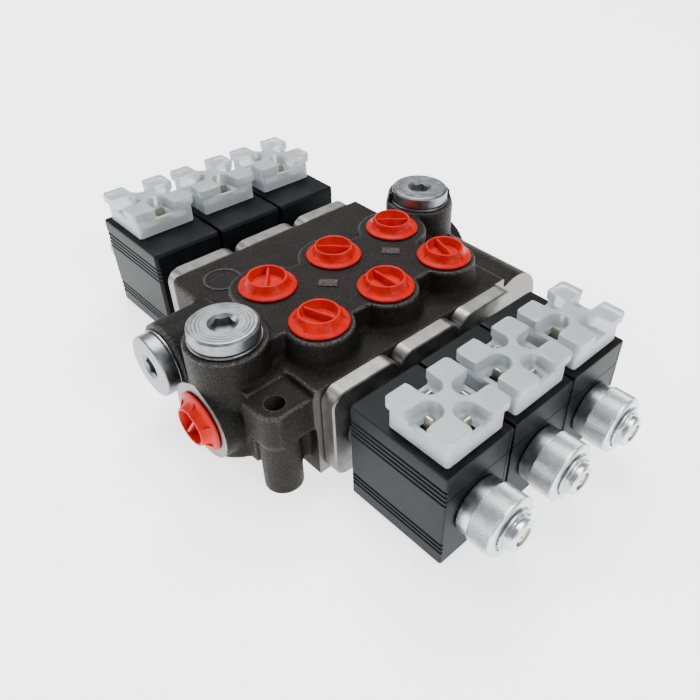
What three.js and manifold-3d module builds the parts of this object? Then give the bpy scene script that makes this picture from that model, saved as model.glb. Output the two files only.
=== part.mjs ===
// Three-section monoblock directional valve with a wet-pin solenoid at both ends of every spool.
// Millimetres, +Z up. X runs along the spools, Y along the row of sections.
// The origin is on the flat underside of the casting, below the middle spool.
import * as THREE from 'three';
import { mergeVertices } from 'three/addons/utils/BufferGeometryUtils.js';
import Module from 'manifold-3d';

const wasm = await Module();
wasm.setup();

// ---- Driving dimensions -------------------------------------------------------------------

// Gap left between pieces that touch, and between a sliding piece and its bore.
const clearance = 0.3;

// How far a cutting shape or a buried root runs past the face it crosses.
const overshoot = 1;

// Ports for threaded hose fittings, all of one size.
const portRadius = 10.2;
const portDepth = 14;
const portPassageRadius = 6;

// Spools.
const spoolRadius = 8;
const neckDepth = 3;
const spoolStroke = 3.5;
const landOverlap = 1.5;
const spoolChamfer = 0.5;

// Casting.
const sectionCount = 3;
const sectionPitch = 38;
const spoolHeight = 24;
const bodyHalfLength = 54;
const bodyEndWall = 2.5;
const shoulderHeight = 48;
const cornerChamfer = 1.5;
const cornerRelief = 3.5;

// Port deck: a front and a rear row of work ports on either side of the pressure gallery.
const deckRise = 12;
const pressureInset = 39.25;
const workPortOffset = 17.75;
const tankOffset = 30;
const frontBossWall = 4.8;
const frontBossFlare = 2;
const rearBossWall = 7.1;
const webInset = 4.5;
const rearWebInset = 6;

// Bores in the casting.
const grooveWidth = 7;
const grooveDepth = 3.5;
const galleryRadius = 4.5;

// Gallery plugs and relief cap.
const plugHeadRadius = 14.6;
const plugHeadThickness = 7;
const plugHeadChamfer = 1;
const plugStemRadius = 10;
const plugStemLength = 15;
const plugBore = 18;
const galleryCoreRadius = 8;
const socketAcrossFlats = 9;
const socketDepth = 5;
const reliefCapRadius = 14.5;
const reliefCapThickness = 7;
const reliefCavityRadius = 8.5;
const reliefStemLength = 17;

// Near head: inlet port and relief valve face -Y, the gallery plug faces up.
const galleryPlugOffset = 1;
const galleryPlugInset = 13.1;
const galleryBossWall = 2.5;
const galleryBossRise = 1.2;
const inletHeight = 26;
const inletBossWall = 7.8;
const inletFaceInset = 30.5;
const reliefOffset = 4.75;
const reliefRise = 10;
const reliefBossWall = 2.5;
const reliefFaceInset = 25;
const headBottom = 8;
const headRearReach = 11;
const headDepth = 19.5;

// Mounting ears.
const earRadius = 9;
const earInset = 12.9;
const earStep = 3;
const earThickness = 17;
const earFootStep = 0.3;
const earHoleRadius = 4.3;
const rearEarTop = 20;

// Far head: a cross core with a blank face to the front, the outlet port and a second plug.
const crossCoreInset = 10.6;
const crossCoreHeight = 28;
const crossCoreRadius = 17;
const crossPassageRadius = 5;
const farPlugOffset = 1.5;
const farPlugInset = 9.3;
const farBossWall = 3.2;
const farCollarRise = 6;
const farCollarRim = 0.6;
const farCollarOpening = 31.5;
const outletBossWall = 6.8;

// Red protective port plugs.
const capFlangeMargin = 2.7;
const inletCapFlangeMargin = 3.8;
const capFlangeThickness = 1.3;
const capCrownInset = 0.6;
const capCrownTaper = 1;
const capCrownHeight = 5.5;
const capWall = 1.2;
const capStemLength = 8;
const capBarWidth = 1.2;

// Adapter plate between casting and coil.
const plateThickness = 7.7;
const plateGap = 0.4;
const plateBottom = 0.6;
const plateCornerRadius = 7;
const tubeFlangeMargin = 3.5;
const tubeFlangeThickness = 4.5;

// Armature tube. Stations are distances from the side face of the casting.
const tubeRadius = 9.5;
const tubeStemReach = 3.6;
const threadStep = 1.5;
const tipStep = 1;
const hexLength = 2.5;
const tipLength = 2.4;
const springPocketRadius = 6.2;
const springPocketEnd = 15;
const pushPinRadius = 2.5;
const armatureStep = 2.5;
const armatureShare = 0.66;
const chamberStart = 22;
const collarRadius = 4.5;
const collarThickness = 2;
const overridePinRadius = 3;

// Coil, its contact blades and its terminal guard.
const coilStart = 16.8;
const coilLength = 51.6;
const coilGap = 1;
const coilHeight = 50.6;
const coilBottom = 0.9;
const coilBevel = 1.5;
const terminalBlockHeight = 4.5;
const bladeReach = 9.4;
const bladeWidth = 4.6;
const bladeThickness = 0.9;
const bladeHeight = 9.5;
const guardOffset = 3;
const guardLength = 30;
const guardMargin = 3;
const guardHeight = 14.5;
const guardFloor = 8;
const guardWall = 2.4;
const guardFlare = 1.2;
const guardLipStart = 9.5;
const guardPocketRadius = 5;

// Coil nut: a cone by the coil and a knurled drum.
const nutNeckMargin = 2.7;
const nutRimMargin = 3.9;
const nutNeckLength = 7;
const nutLength = 17.3;
const nutChamfer = 1.2;

// Centring spring.
const springWire = 1.1;
const springRadius = 5;
const springTurns = 4;

// Number of flats around turned shapes, by size, and of steps in each rounded corner.
const fine = 24;
const medium = 16;
const coarse = 12;
const passageFacets = 8;
const cornerSteps = 3;
const springStepsPerTurn = 7;

// ---- Places worked out from the driving dimensions ------------------------------------------

const sectionY = (index) => (index - (sectionCount - 1) / 2) * sectionPitch;
const sectionIndices = [...Array(sectionCount).keys()];
const lastSectionY = sectionY(sectionCount - 1);
const bodyEndY = lastSectionY + sectionPitch / 2 + bodyEndWall;
const deckHeight = shoulderHeight + deckRise;
const pressureX = bodyHalfLength - pressureInset;
const frontPortX = pressureX + workPortOffset;
const rearPortX = pressureX - workPortOffset;
const frontTankX = pressureX + tankOffset;
const rearTankX = pressureX - tankOffset;
const spoolHalfLength = bodyHalfLength - spoolStroke;
const grooveRadius = spoolRadius + grooveDepth;
const galleryPlugX = pressureX + galleryPlugOffset;
const galleryPlugY = -bodyEndY - galleryPlugInset;
const galleryBossHeight = deckHeight + galleryBossRise;
const inletBossRadius = portRadius + inletBossWall;
const inletFaceY = -bodyEndY - inletFaceInset;
const reliefX = rearTankX - reliefOffset;
const reliefHeight = spoolHeight + reliefRise;
const reliefFaceY = -bodyEndY - reliefFaceInset;
const earX = bodyHalfLength - earRadius + clearance;
const earY = -bodyEndY - earInset;
const earTop = shoulderHeight - earStep;
const farPlugX = rearTankX + farPlugOffset;
const farPlugY = bodyEndY + farPlugInset;
const farBossRadius = plugHeadRadius + farBossWall;
const crossCoreY = bodyEndY + crossCoreInset;
const outletFaceY = -inletFaceY;

// ---- Materials ------------------------------------------------------------------------------

const finish = (color, roughness, metalness, extra = {}) =>
  new THREE.MeshStandardMaterial({ color, roughness, metalness, ...extra });

const castIron = finish('#3b3a38', 0.62, 0.75);
const zincPlate = finish('#b9bcc0', 0.3, 1);
const brushedSteel = finish('#9b9a94', 0.42, 1);
const blackNylon = finish('#1c1e22', 0.5, 0);
const redPolyethylene = finish('#e8300f', 0.42, 0);
const milkyNylon = finish('#e3e7ea', 0.35, 0, { transparent: true, opacity: 0.7 });
const groundSteel = finish('#c4c6c8', 0.18, 1);
const brassRod = finish('#c9a35a', 0.3, 1);
const springSteel = finish('#8d9094', 0.3, 1);

// ---- Solid helpers --------------------------------------------------------------------------

// Turns a closed three.js geometry into a solid, leaving out triangles that have no area.
function solid(geometry) {
  const bare = geometry.index ? geometry.toNonIndexed() : geometry.clone();
  bare.deleteAttribute('normal');
  bare.deleteAttribute('uv');
  const welded = mergeVertices(bare);
  const triangles = [];
  for (let i = 0; i < welded.index.count; i += 3) {
    const corners = [0, 1, 2].map((k) => welded.index.getX(i + k));
    if (new Set(corners).size === 3) triangles.push(...corners);
  }
  return new wasm.Manifold(new wasm.Mesh({
    numProp: 3,
    vertProperties: new Float32Array(welded.attributes.position.array),
    triVerts: new Uint32Array(triangles),
  }));
}

// A box between two corners.
function block([x0, y0, z0], [x1, y1, z1]) {
  const geometry = new THREE.BoxGeometry(x1 - x0, y1 - y0, z1 - z0);
  geometry.translate((x0 + x1) / 2, (y0 + y1) / 2, (z0 + z1) / 2);
  return solid(geometry);
}

// A shape turned about an axis through the point at. The profile is a list of [station, radius]
// that starts and ends on the axis, with stations rising along the axis.
function turned(axis, profile, segments, at = [0, 0, 0]) {
  const points = profile.map(([station, radius]) => new THREE.Vector2(radius, station));
  const geometry = new THREE.LatheGeometry(points, segments);
  if (axis === 'x') geometry.rotateZ(-Math.PI / 2);
  if (axis === 'z') geometry.rotateX(Math.PI / 2);
  geometry.translate(...at);
  return solid(geometry);
}

// A plain or tapered rod from one station to another.
function rod(axis, from, to, radius, segments, at, endRadius = radius) {
  return turned(axis, [[from, 0], [from, radius], [to, endRadius], [to, 0]], segments, at);
}

// A round hole whose flats, not its corners, stand at the given radius, so that anything round
// of that radius less a clearance passes whatever way it is turned.
function hole(axis, from, to, radius, segments, at) {
  return rod(axis, from, to, radius / Math.cos(Math.PI / segments), segments, at);
}

// An outline in XY raised from one height to another.
function raised(outline, bottom, top) {
  const geometry = new THREE.ExtrudeGeometry(outline, {
    depth: top - bottom, bevelEnabled: false, curveSegments: cornerSteps,
  });
  geometry.translate(0, 0, bottom);
  return solid(geometry);
}

const joined = (pieces) => pieces.reduce((whole, piece) => whole.add(piece));
const cut = (whole, pieces) => pieces.reduce((rest, piece) => rest.subtract(piece), whole);

// A hexagonal bar along an axis, used for sockets and for the end of the armature tube.
function hexBar(axis, from, to, acrossFlats, at) {
  return rod(axis, from, to, acrossFlats / Math.sqrt(3), 6, at);
}

function meshOf(name, shape, material) {
  const { vertProperties, triVerts } = shape.getMesh();
  const geometry = new THREE.BufferGeometry();
  geometry.setAttribute('position', new THREE.BufferAttribute(vertProperties, 3));
  geometry.setIndex(new THREE.BufferAttribute(triVerts, 1));
  geometry.computeVertexNormals();
  const mesh = new THREE.Mesh(geometry, material);
  mesh.name = name;
  return mesh;
}

// ---- Casting --------------------------------------------------------------------------------

// Main block, with its long top edges broken and its near rear corner relieved.
function mainBlock() {
  const outline = new THREE.Shape();
  const edge = cornerChamfer;
  outline.moveTo(-bodyHalfLength, 0);
  outline.lineTo(bodyHalfLength, 0);
  outline.lineTo(bodyHalfLength, shoulderHeight - edge);
  outline.lineTo(bodyHalfLength - edge, shoulderHeight);
  outline.lineTo(-bodyHalfLength + edge, shoulderHeight);
  outline.lineTo(-bodyHalfLength, shoulderHeight - edge);
  const geometry = new THREE.ExtrudeGeometry(outline, { depth: 2 * bodyEndY, bevelEnabled: false });
  geometry.rotateX(Math.PI / 2);
  geometry.translate(0, bodyEndY, 0);
  const corner = new THREE.Shape();
  corner.moveTo(-bodyHalfLength - cornerRelief, -bodyEndY - cornerRelief);
  corner.lineTo(-bodyHalfLength + cornerRelief, -bodyEndY - cornerRelief);
  corner.lineTo(-bodyHalfLength + cornerRelief, -bodyEndY);
  corner.lineTo(-bodyHalfLength, -bodyEndY + cornerRelief);
  corner.lineTo(-bodyHalfLength - cornerRelief, -bodyEndY + cornerRelief);
  return solid(geometry).subtract(raised(corner, -overshoot, shoulderHeight + overshoot));
}

// Raised deck: one boss for each work port, webs between the bosses and a web to the near plug.
function portDeck() {
  const buried = shoulderHeight - cornerChamfer;
  const topRadius = portRadius + frontBossWall;
  const bosses = sectionIndices.flatMap((index) => [
    rod('z', buried, deckHeight, topRadius + frontBossFlare, medium,
      [frontPortX, sectionY(index), 0], topRadius),
    rod('z', buried, deckHeight, portRadius + rearBossWall, medium,
      [rearPortX, sectionY(index), 0]),
  ]);
  const web = block([rearPortX - rearWebInset, -lastSectionY, buried],
    [frontPortX + webInset, lastSectionY, deckHeight]);
  const nearWeb = block([rearPortX + webInset, galleryPlugY, buried],
    [frontPortX - webInset, -lastSectionY + overshoot, deckHeight]);
  return joined([...bosses, web, nearWeb]);
}

// Near head: block, plug boss, inlet boss and relief boss.
function nearHead() {
  const root = -bodyEndY + cornerChamfer;
  const bossRadius = plugHeadRadius + galleryBossWall;
  return joined([
    block([reliefX - headRearReach, -bodyEndY - headDepth, headBottom],
      [earX - earRadius, root, shoulderHeight - overshoot]),
    rod('z', headBottom, galleryBossHeight, bossRadius, fine, [galleryPlugX, galleryPlugY, 0]),
    rod('y', inletFaceY, root, inletBossRadius, fine, [galleryPlugX, 0, inletHeight]),
    rod('y', reliefFaceY, root, reliefCapRadius + reliefBossWall, medium, [reliefX, 0, reliefHeight]),
  ]);
}

// A mounting ear: a flat pad with one round corner, on a column that stands on the base plane.
// Its root runs back into the block, and side -1 is the same ear on the other side.
function ear(side, y, top, bottom) {
  const outward = Math.sign(y);
  const inner = earX - earRadius - clearance;
  const outer = earX + earRadius;
  const rootY = y - outward * (earInset + clearance);
  const outline = new THREE.Shape();
  outline.moveTo(inner, rootY);
  if (outward < 0) {
    outline.lineTo(inner, y - earRadius);
    outline.absarc(earX, y, earRadius, -Math.PI / 2, 0, false);
    outline.lineTo(outer, rootY);
  } else {
    outline.lineTo(outer, rootY);
    outline.absarc(earX, y, earRadius, 0, Math.PI / 2, false);
    outline.lineTo(inner, y + earRadius);
  }
  const pad = raised(outline, bottom, top);
  const foot = rod('z', 0, bottom + overshoot, earRadius - earFootStep, medium, [earX, y, 0]);
  const web = block([inner, Math.min(y, rootY), headBottom],
    [earX + earRadius / 3, Math.max(y, rootY), bottom + overshoot]);
  const whole = joined([pad, foot, web]);
  return side > 0 ? whole : whole.mirror([1, 0, 0]);
}

// Far head: cross core with a blank machined face, outlet boss and plug boss with a part collar.
function farHead() {
  const root = bodyEndY - cornerChamfer;
  const at = [farPlugX, farPlugY, 0];
  const collarTop = deckHeight + farCollarRise;
  const collarHole = plugHeadRadius + clearance;
  const collar = turned('z', [[headBottom, 0], [headBottom, farBossRadius],
    [deckHeight, farBossRadius], [collarTop, collarHole + farCollarRim], [collarTop, 0]], fine, at);
  const recess = hole('z', galleryBossHeight, collarTop + overshoot, collarHole, fine, at);
  const opening = new THREE.BoxGeometry(2 * farBossRadius, 4 * farBossRadius, deckHeight);
  opening.translate(farBossRadius, 0, galleryBossHeight + deckHeight / 2);
  opening.rotateZ(-THREE.MathUtils.degToRad(farCollarOpening));
  opening.translate(...at);
  return joined([
    rod('x', farPlugX, bodyHalfLength, crossCoreRadius, fine, [0, crossCoreY, crossCoreHeight]),
    block([farPlugX - farBossRadius, root, headBottom],
      [bodyHalfLength - cornerChamfer, crossCoreY, crossCoreHeight + crossCoreRadius / 2]),
    rod('y', root, outletFaceY, portRadius + outletBossWall, medium, [farPlugX, 0, inletHeight]),
    cut(collar, [recess, solid(opening)]),
  ]);
}

// Spool bores with their grooves, work ports and the galleries that join them.
function sectionBores() {
  const reach = bodyHalfLength + overshoot;
  const half = grooveWidth / 2;
  const portFloor = deckHeight - portDepth;
  return sectionIndices.flatMap((index) => {
    const y = sectionY(index);
    const bore = hole('x', -reach, reach, spoolRadius + clearance, coarse, [0, y, spoolHeight]);
    const grooves = [rearTankX, rearPortX, pressureX, frontPortX, frontTankX].map((x) =>
      hole('x', x - half, x + half, grooveRadius, coarse, [0, y, spoolHeight]));
    const ports = [rearPortX, frontPortX].flatMap((x) => [
      hole('z', portFloor, deckHeight + overshoot, portRadius, coarse, [x, y, 0]),
      hole('z', spoolHeight, portFloor + overshoot, portPassageRadius, passageFacets, [x, y, 0]),
    ]);
    return [bore, ...grooves, ...ports];
  });
}

// Pressure and tank galleries, the cross drillings, and the bores of ports, plugs and relief valve.
function galleries() {
  const along = (x) => [x, 0, spoolHeight];
  const linkY = -bodyEndY - galleryRadius;
  const plugFloor = galleryBossHeight - plugBore;
  const coreFloor = spoolHeight - galleryCoreRadius;
  const passages = [
    hole('y', galleryPlugY, lastSectionY, galleryRadius, passageFacets, along(pressureX)),
    hole('y', reliefFaceY + reliefStemLength, farPlugY, galleryRadius, passageFacets, along(rearTankX)),
    hole('y', -lastSectionY, crossCoreY, galleryRadius, passageFacets, along(frontTankX)),
    hole('x', farPlugX, frontTankX, crossPassageRadius, passageFacets, [0, crossCoreY, crossCoreHeight]),
    hole('x', reliefX, galleryPlugX, galleryRadius, passageFacets, [0, linkY, reliefHeight]),
    hole('y', reliefFaceY - overshoot, linkY + grooveRadius, reliefCavityRadius, coarse,
      [reliefX, 0, reliefHeight]),
  ];
  const ports = [[galleryPlugX, -1, galleryPlugY], [farPlugX, 1, farPlugY]].flatMap(([x, way, plugY]) => {
    const face = way * outletFaceY;
    const low = Math.min(face + way * overshoot, face - way * portDepth);
    const high = Math.max(face + way * overshoot, face - way * portDepth);
    return [
      hole('y', low, high, portRadius, coarse, [x, 0, inletHeight]),
      hole('y', Math.min(face, plugY), Math.max(face, plugY), portPassageRadius, coarse,
        [x, 0, inletHeight]),
      hole('z', plugFloor, galleryBossHeight + overshoot, plugStemRadius + clearance, coarse,
        [x, plugY, 0]),
      hole('z', coreFloor, plugFloor + overshoot, galleryCoreRadius, coarse, [x, plugY, 0]),
    ];
  });
  return [...passages, ...ports];
}

function valveBody() {
  const casting = joined([
    mainBlock(),
    portDeck(),
    nearHead(),
    farHead(),
    ear(1, earY, earTop, earTop - earThickness),
    ear(-1, -earY, rearEarTop, headBottom),
  ]);
  const earHoles = [[earX, earY], [-earX, -earY]].map(([x, y]) =>
    hole('z', -overshoot, earTop + overshoot, earHoleRadius, coarse, [x, y, 0]));
  return cut(casting, [...sectionBores(), ...galleries(), ...earHoles]);
}

// ---- Plugs and spools ------------------------------------------------------------------------

// Steel plug with a hexagon socket, standing on the plane z = 0 with its stem below it.
function galleryPlug() {
  const top = plugHeadThickness;
  const rim = plugHeadRadius - plugHeadChamfer;
  const profile = [[-plugStemLength, 0], [-plugStemLength, plugStemRadius], [0, plugStemRadius],
    [0, plugHeadRadius], [top - plugHeadChamfer, plugHeadRadius], [top, rim], [top, 0]];
  return turned('z', profile, medium)
    .subtract(hexBar('z', top - socketDepth, top + overshoot, socketAcrossFlats));
}

// Relief valve cap, turned about Y, head outwards.
function reliefCap() {
  const end = -reliefCapThickness;
  const stem = reliefCavityRadius - clearance;
  const profile = [[end, 0], [end, reliefCapRadius - plugHeadChamfer],
    [end + plugHeadChamfer, reliefCapRadius], [0, reliefCapRadius], [0, stem],
    [reliefStemLength, stem], [reliefStemLength, 0]];
  return turned('y', profile, medium)
    .subtract(hexBar('y', end - overshoot, end + socketDepth, socketAcrossFlats));
}

// Protective port plug, standing on the plane z = 0: flange, tapered crown with a pocket and a
// bar across it, and a hollow stem that sits in the port.
function portCap(flangeMargin, barAngle) {
  const stem = portRadius - clearance;
  const flange = capFlangeThickness;
  const flangeRadius = portRadius + flangeMargin;
  const crownBase = portRadius - capCrownInset;
  const crownTop = crownBase - capCrownTaper;
  const outside = turned('z', [[-capStemLength, 0], [-capStemLength, stem], [0, stem],
    [0, flangeRadius], [flange, flangeRadius], [flange, crownBase],
    [capCrownHeight, crownTop], [capCrownHeight, 0]], medium);
  const pocketRadius = crownTop - capWall;
  const pocket = rod('z', flange + capWall, capCrownHeight + overshoot, pocketRadius, coarse);
  const underside = rod('z', -capStemLength - overshoot, flange, stem - capWall, coarse);
  const bar = new THREE.BoxGeometry(2 * pocketRadius + capWall, capBarWidth, capCrownHeight - flange);
  bar.translate(0, 0, (capCrownHeight - flange) / 2 + flange);
  bar.rotateZ(barAngle);
  return outside.subtract(underside).subtract(pocket).add(solid(bar));
}

// Spool with a land over each work port, lands that guide its ends and necks between them.
function spool() {
  const land = spoolRadius;
  const neck = spoolRadius - neckDepth;
  const rim = land - spoolChamfer;
  const half = grooveWidth / 2 + landOverlap;
  const rearGuide = rearTankX - half;
  const frontGuide = frontTankX + landOverlap;
  return turned('x', [
    [-spoolHalfLength, 0], [-spoolHalfLength, rim], [-spoolHalfLength + spoolChamfer, land],
    [rearGuide, land], [rearGuide, neck], [rearPortX - half, neck],
    [rearPortX - half, land], [rearPortX + half, land], [rearPortX + half, neck],
    [frontPortX - half, neck], [frontPortX - half, land], [frontPortX + half, land],
    [frontPortX + half, neck], [frontGuide, neck], [frontGuide, land],
    [spoolHalfLength - spoolChamfer, land], [spoolHalfLength, rim], [spoolHalfLength, 0],
  ], coarse);
}

// ---- Solenoid: every piece is drawn along +X from the side face of the casting ----------------

const coilEnd = coilStart + coilLength;
const coilWidth = sectionPitch - coilGap;
const nutStart = coilEnd + clearance;
const nutEnd = nutStart + nutLength;
const tubeFlangeRadius = tubeRadius + tubeFlangeMargin;
const tubeStemEnd = coilEnd + tubeStemReach;
const threadRadius = tubeRadius - threadStep;
const threadEnd = nutEnd + clearance;
const hexEnd = threadEnd + hexLength;
const tubeEnd = hexEnd + tipLength;

// The armature chamber leaves room for the full stroke at both ends.
const armatureRadius = tubeRadius - armatureStep;
const armatureStart = chamberStart + spoolStroke + clearance;
const armatureEnd = armatureStart + armatureShare * coilLength;
const collarStart = armatureEnd + clearance;
const chamberEnd = collarStart + collarThickness + spoolStroke + clearance;

// The terminal guard stands near the outer end of the coil.
const coilTop = coilBottom + coilHeight - spoolHeight;
const guardMid = coilEnd - guardOffset - guardLength / 2;
const guardWidth = coilWidth - 2 * guardMargin;

function adapterPlate() {
  const half = (sectionPitch - plateGap) / 2;
  const top = shoulderHeight - spoolHeight;
  const bottom = plateBottom - spoolHeight;
  const radius = plateCornerRadius;
  const outline = new THREE.Shape();
  outline.absarc(half - radius, top - radius, radius, 0, Math.PI / 2);
  outline.absarc(-half + radius, top - radius, radius, Math.PI / 2, Math.PI);
  outline.absarc(-half + radius, bottom + radius, radius, Math.PI, 1.5 * Math.PI);
  outline.absarc(half - radius, bottom + radius, radius, 1.5 * Math.PI, 2 * Math.PI);
  const geometry = new THREE.ExtrudeGeometry(outline, {
    depth: plateThickness, bevelEnabled: false, curveSegments: cornerSteps,
  });
  geometry.rotateX(Math.PI / 2);
  geometry.rotateZ(Math.PI / 2);
  geometry.translate(clearance, 0, 0);
  const recessEnd = clearance + tubeFlangeThickness + clearance;
  return cut(solid(geometry), [
    hole('x', 0, recessEnd, tubeFlangeRadius + clearance, coarse),
    hole('x', 0, plateThickness + overshoot, tubeRadius + clearance, coarse),
  ]);
}

// Armature tube: flange, stem, thread for the nut, hexagon and tip, bored through on its axis.
function armatureTube() {
  const flangeEnd = clearance + tubeFlangeThickness;
  const tipRadius = threadRadius - tipStep;
  const outside = turned('x', [[clearance, 0], [clearance, tubeFlangeRadius],
    [flangeEnd, tubeFlangeRadius], [flangeEnd, tubeRadius], [tubeStemEnd, tubeRadius],
    [tubeStemEnd, threadRadius], [threadEnd, threadRadius], [threadEnd, tipRadius],
    [tubeEnd, tipRadius], [tubeEnd, 0]], coarse)
    .add(hexBar('x', threadEnd, hexEnd, threadRadius * Math.sqrt(3)));
  return cut(outside, [
    hole('x', 0, springPocketEnd, springPocketRadius, coarse),
    hole('x', 0, chamberStart + overshoot, pushPinRadius + clearance, coarse),
    hole('x', chamberStart, chamberEnd, armatureRadius + clearance, coarse),
    hole('x', chamberEnd - overshoot, tubeEnd + overshoot, overridePinRadius + clearance, coarse),
  ]);
}

// Armature with the push pin that reaches the end of the spool.
function armature() {
  return turned('x', [[-spoolStroke + clearance, 0], [-spoolStroke + clearance, pushPinRadius],
    [armatureStart, pushPinRadius], [armatureStart, armatureRadius],
    [armatureEnd, armatureRadius], [armatureEnd, 0]], coarse);
}

// Override pin with an inner collar that keeps it in the tube.
function overridePin() {
  const collarEnd = collarStart + collarThickness;
  return turned('x', [[collarStart, 0], [collarStart, collarRadius], [collarEnd, collarRadius],
    [collarEnd, overridePinRadius], [tubeEnd, overridePinRadius], [tubeEnd, 0]], coarse);
}

// Where the four contact blades stand, as offsets from the middle of the guard, each with the
// direction its width runs in.
const bladePlaces = [[bladeReach, 0, 'y'], [-bladeReach, 0, 'y'], [0, bladeReach, 'x'],
  [0, -bladeReach, 'x']];

// Moulded coil with its terminal block and contact blades on top and the bore for the tube.
function coil() {
  const half = coilWidth / 2;
  const bottom = coilBottom - spoolHeight;
  const outline = new THREE.Shape();
  outline.moveTo(coilStart, bottom);
  outline.lineTo(coilEnd, bottom);
  outline.lineTo(coilEnd, coilTop);
  outline.lineTo(coilStart + coilBevel, coilTop);
  outline.lineTo(coilStart, coilTop - coilBevel);
  const geometry = new THREE.ExtrudeGeometry(outline, { depth: coilWidth, bevelEnabled: false });
  geometry.rotateX(Math.PI / 2);
  geometry.translate(0, half, 0);
  const terminalLength = guardLength / 2 - guardWall - clearance;
  const terminalWidth = guardWidth / 2 - guardWall - clearance;
  const terminals = block([guardMid - terminalLength, -terminalWidth, coilTop - overshoot],
    [guardMid + terminalLength, terminalWidth, coilTop + terminalBlockHeight]);
  const blades = bladePlaces.map(([x, y, way]) => {
    const reachX = (way === 'x' ? bladeWidth : bladeThickness) / 2;
    const reachY = (way === 'y' ? bladeWidth : bladeThickness) / 2;
    return block([guardMid + x - reachX, y - reachY, coilTop],
      [guardMid + x + reachX, y + reachY, coilTop + bladeHeight]);
  });
  return joined([solid(geometry), terminals, ...blades])
    .subtract(hole('x', 0, coilEnd + overshoot, tubeRadius + clearance, coarse));
}

// A box about the middle of the guard whose top is wider than its bottom on every side.
function flared(halfLength, halfWidth, low, high, flare) {
  const geometry = new THREE.BoxGeometry(2 * halfLength, 2 * halfWidth, high - low);
  const position = geometry.attributes.position;
  for (let i = 0; i < position.count; i += 1) {
    if (position.getZ(i) > 0) {
      position.setX(i, position.getX(i) + Math.sign(position.getX(i)) * flare);
      position.setY(i, position.getY(i) + Math.sign(position.getY(i)) * flare);
    }
  }
  geometry.translate(guardMid, 0, (low + high) / 2);
  return solid(geometry);
}

// The straight part of a pocket in the guard, from its round end at x, y out through the side.
function pocketMouth(x, y, floor, top) {
  const halfX = x === 0 ? guardPocketRadius : guardLength;
  const halfY = y === 0 ? guardPocketRadius : guardLength;
  const middleX = guardMid + x + Math.sign(x) * halfX;
  const middleY = y + Math.sign(y) * halfY;
  return block([middleX - halfX, middleY - halfY, floor], [middleX + halfX, middleY + halfY, top]);
}

// Terminal guard: a hollow cap that flares to a lip. A pocket with a round inner end is let into
// the middle of each side, open to that side, and a contact blade comes up in it.
function terminalGuard() {
  const halfLength = guardLength / 2;
  const halfWidth = guardWidth / 2;
  const bottom = coilTop + clearance;
  const floor = bottom + guardFloor;
  const lip = bottom + guardLipStart;
  const top = bottom + guardHeight;
  const ceiling = coilTop + terminalBlockHeight + clearance;
  const slot = (bladeWidth + guardWall) / 2;
  const cuts = [
    flared(halfLength - guardWall, halfWidth - guardWall, bottom - overshoot, ceiling, 0),
    ...bladePlaces.flatMap(([x, y]) => [
      hole('z', floor, top + overshoot, guardPocketRadius, medium, [guardMid + x, y, 0]),
      pocketMouth(x, y, floor, top + overshoot),
      block([guardMid + x - slot, y - slot, ceiling - overshoot],
        [guardMid + x + slot, y + slot, floor + overshoot]),
    ]),
  ];
  return cut(joined([
    flared(halfLength, halfWidth, bottom, lip + clearance, 0),
    flared(halfLength, halfWidth, lip, top, guardFlare),
  ]), cuts);
}

function coilNut() {
  const neck = tubeRadius + nutNeckMargin;
  const rim = tubeRadius + nutRimMargin;
  const outside = turned('x', [[nutStart, 0], [nutStart, neck], [nutStart + nutNeckLength, rim],
    [nutEnd - nutChamfer, rim], [nutEnd, rim - nutChamfer], [nutEnd, 0]], medium);
  return cut(outside, [
    hole('x', nutStart - overshoot, tubeStemEnd + clearance, tubeRadius + clearance, coarse),
    hole('x', nutStart, nutEnd + overshoot, threadRadius + clearance, coarse),
  ]);
}

// A compression spring in the pocket of the rear tube, around the push pin.
class Helix extends THREE.Curve {
  constructor(start, end) {
    super();
    this.start = start;
    this.end = end;
  }

  getPoint(t, target = new THREE.Vector3()) {
    const angle = 2 * Math.PI * springTurns * t;
    const x = THREE.MathUtils.lerp(this.start, this.end, t);
    return target.set(x, springRadius * Math.cos(angle), springRadius * Math.sin(angle));
  }
}

function centringSpring() {
  const radius = springWire / 2;
  const section = new THREE.Shape();
  section.absarc(0, 0, radius, 0, 2 * Math.PI);
  const start = -spoolStroke + clearance + radius;
  const end = springPocketEnd - clearance - radius;
  const geometry = new THREE.ExtrudeGeometry(section, {
    steps: springTurns * springStepsPerTurn,
    curveSegments: cornerSteps,
    extrudePath: new Helix(start, end),
  });
  return solid(geometry);
}

// ---- Assembly ---------------------------------------------------------------------------------

// Each row of work port caps: its name, its place, and how far the bar of each cap is turned.
const capRows = [
  ['front', frontPortX, [0.3, 0, -0.32]],
  ['rear', rearPortX, [-0.71, 0.77, 0.88]],
];
const inletBarAngle = 0.5;

const valve = new THREE.Group();

valve.add(meshOf('valve_body', valveBody(), castIron));

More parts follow.
